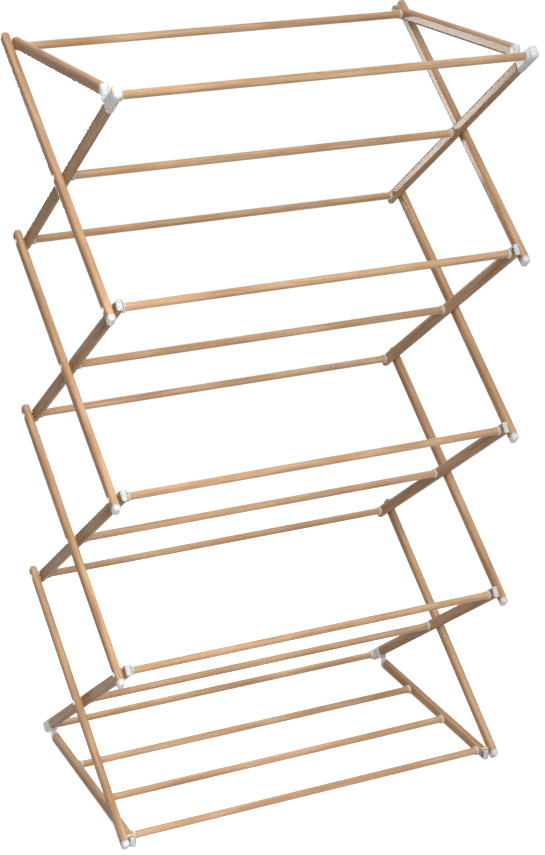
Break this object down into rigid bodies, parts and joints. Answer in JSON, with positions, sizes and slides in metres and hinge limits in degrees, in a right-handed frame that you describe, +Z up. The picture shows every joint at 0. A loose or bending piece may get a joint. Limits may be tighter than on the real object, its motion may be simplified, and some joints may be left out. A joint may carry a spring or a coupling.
{
  "type": "accordion clothes drying rack",
  "caption": "Free-standing folding scissor rack for drying clothes, with round hanging rods, wood-look steel bars, white plastic caps and hinged links that hold it open.",
  "frame": {"origin": "on the floor, midway between front and back and between left and right", "axes": "+X to the rack's right, +Y from the front, where the top front rod is, to the back, +Z up"},
  "size_m": [0.7518, 0.4754, 1.3097],
  "materials": {
    "bar_finish": "glossy wood-grain film on flat oval steel tube",
    "rod_finish": "glossy light wood-grain film on round steel tube",
    "white_plastic": "white satin moulded plastic",
    "rivet_steel": "bright zinc-plated rivet head",
    "spacer_brass": "yellow-passivated spacer washer"
  },
  "bodies": {
    "inner_frame_4": {"inner_bar_left_4": "bar_finish", "inner_bar_right_4": "bar_finish", "top_cap_left_4": "white_plastic", "top_cap_right_4": "white_plastic", "front_rod_4": "rod_finish", "middle_rod_4": "rod_finish", "floor_socket_left": "white_plastic", "floor_socket_right": "white_plastic", "floor_back_rod": "rod_finish"},
    "inner_frame_3": {"inner_bar_left_3": "bar_finish", "inner_bar_right_3": "bar_finish", "top_cap_left_3": "white_plastic", "top_cap_right_3": "white_plastic", "front_rod_3": "rod_finish", "middle_rod_3": "rod_finish", "back_rod_3": "rod_finish"},
    "inner_frame_2": {"inner_bar_left_2": "bar_finish", "inner_bar_right_2": "bar_finish", "top_cap_left_2": "white_plastic", "top_cap_right_2": "white_plastic", "front_rod_2": "rod_finish", "middle_rod_2": "rod_finish", "back_rod_2": "rod_finish"},
    "inner_frame_1": {"inner_bar_left_1": "bar_finish", "inner_bar_right_1": "bar_finish", "top_socket_left": "white_plastic", "top_socket_right": "white_plastic", "top_front_rod": "rod_finish", "middle_rod_1": "rod_finish", "back_rod_1": "rod_finish"},
    "outer_arm_left_4": {"outer_bar_left_4": "bar_finish", "foot_cap_left_4": "white_plastic"},
    "outer_arm_right_4": {"outer_bar_right_4": "bar_finish", "foot_cap_right_4": "white_plastic"},
    "outer_arm_left_3": {"outer_bar_left_3": "bar_finish", "foot_cap_left_3": "white_plastic"},
    "outer_arm_right_3": {"outer_bar_right_3": "bar_finish", "foot_cap_right_3": "white_plastic"},
    "outer_arm_left_2": {"outer_bar_left_2": "bar_finish", "foot_cap_left_2": "white_plastic"},
    "outer_arm_right_2": {"outer_bar_right_2": "bar_finish", "foot_cap_right_2": "white_plastic"},
    "outer_arm_left_1": {"outer_bar_left_1": "bar_finish", "foot_cap_left_1": "white_plastic"},
    "outer_arm_right_1": {"outer_bar_right_1": "bar_finish", "foot_cap_right_1": "white_plastic"},
    "top_links": {"top_link_left": "bar_finish", "top_link_right": "bar_finish", "link_knuckle_left": "white_plastic", "link_knuckle_right": "white_plastic", "top_back_rod": "rod_finish"},
    "floor_rails": {"floor_rail_left": "bar_finish", "floor_rail_right": "bar_finish", "rail_knuckle_left": "white_plastic", "rail_knuckle_right": "white_plastic", "rail_cap_left": "white_plastic", "rail_cap_right": "white_plastic", "floor_rod_1": "rod_finish", "floor_rod_2": "rod_finish", "floor_rod_3": "rod_finish"}
  },
  "joints": [
    {"name": "fold", "type": "hinge", "parent": "inner_frame_4", "child": "outer_arm_left_4", "pos_m": [0, 0, 0.17898], "axis": [-1, 0, 0], "range_deg": [0, 68]},
    {"name": "cross_right_4", "type": "hinge", "parent": "inner_frame_4", "child": "outer_arm_right_4", "pos_m": [0, 0, 0.17898], "axis": [-1, 0, 0], "range_deg": [0, 68.5]},
    {"name": "back_pivot_4", "type": "hinge", "parent": "outer_arm_left_4", "child": "inner_frame_3", "pos_m": [0, 0.20441, 0.3364], "axis": [1, 0, 0], "range_deg": [0, 68.5]},
    {"name": "cross_left_3", "type": "hinge", "parent": "inner_frame_3", "child": "outer_arm_left_3", "pos_m": [0, 0, 0.49382], "axis": [-1, 0, 0], "range_deg": [0, 68.5]},
    {"name": "cross_right_3", "type": "hinge", "parent": "inner_frame_3", "child": "outer_arm_right_3", "pos_m": [0, 0, 0.49382], "axis": [-1, 0, 0], "range_deg": [0, 68.5]},
    {"name": "back_pivot_3", "type": "hinge", "parent": "outer_arm_left_3", "child": "inner_frame_2", "pos_m": [0, 0.20441, 0.65124], "axis": [1, 0, 0], "range_deg": [0, 68.5]},
    {"name": "cross_left_2", "type": "hinge", "parent": "inner_frame_2", "child": "outer_arm_left_2", "pos_m": [0, 0, 0.80865], "axis": [-1, 0, 0], "range_deg": [0, 68.5]},
    {"name": "cross_right_2", "type": "hinge", "parent": "inner_frame_2", "child": "outer_arm_right_2", "pos_m": [0, 0, 0.80865], "axis": [-1, 0, 0], "range_deg": [0, 68.5]},
    {"name": "back_pivot_2", "type": "hinge", "parent": "outer_arm_left_2", "child": "inner_frame_1", "pos_m": [0, 0.20441, 0.96607], "axis": [1, 0, 0], "range_deg": [0, 68.5]},
    {"name": "cross_left_1", "type": "hinge", "parent": "inner_frame_1", "child": "outer_arm_left_1", "pos_m": [0, 0, 1.12349], "axis": [-1, 0, 0], "range_deg": [0, 68.5]},
    {"name": "cross_right_1", "type": "hinge", "parent": "inner_frame_1", "child": "outer_arm_right_1", "pos_m": [0, 0, 1.12349], "axis": [-1, 0, 0], "range_deg": [0, 68.5]},
    {"name": "top_link_hinge", "type": "hinge", "parent": "inner_frame_1", "child": "top_links", "pos_m": [0, -0.1876, 1.28197], "axis": [-1, 0, 0], "range_deg": [-1, 34.5]},
    {"name": "floor_rail_hinge", "type": "hinge", "parent": "inner_frame_4", "child": "floor_rails", "pos_m": [0, 0.1876, 0.0205], "axis": [-1, 0, 0], "range_deg": [-1, 34.5]}
  ],
  "couplings": [
    {"joint": "cross_right_4", "follows": "fold", "ratio": 1},
    {"joint": "back_pivot_4", "follows": "fold", "ratio": 1},
    {"joint": "cross_left_3", "follows": "fold", "ratio": 1},
    {"joint": "cross_right_3", "follows": "fold", "ratio": 1},
    {"joint": "back_pivot_3", "follows": "fold", "ratio": 1},
    {"joint": "cross_left_2", "follows": "fold", "ratio": 1},
    {"joint": "cross_right_2", "follows": "fold", "ratio": 1},
    {"joint": "back_pivot_2", "follows": "fold", "ratio": 1},
    {"joint": "cross_left_1", "follows": "fold", "ratio": 1},
    {"joint": "cross_right_1", "follows": "fold", "ratio": 1}
  ]
}
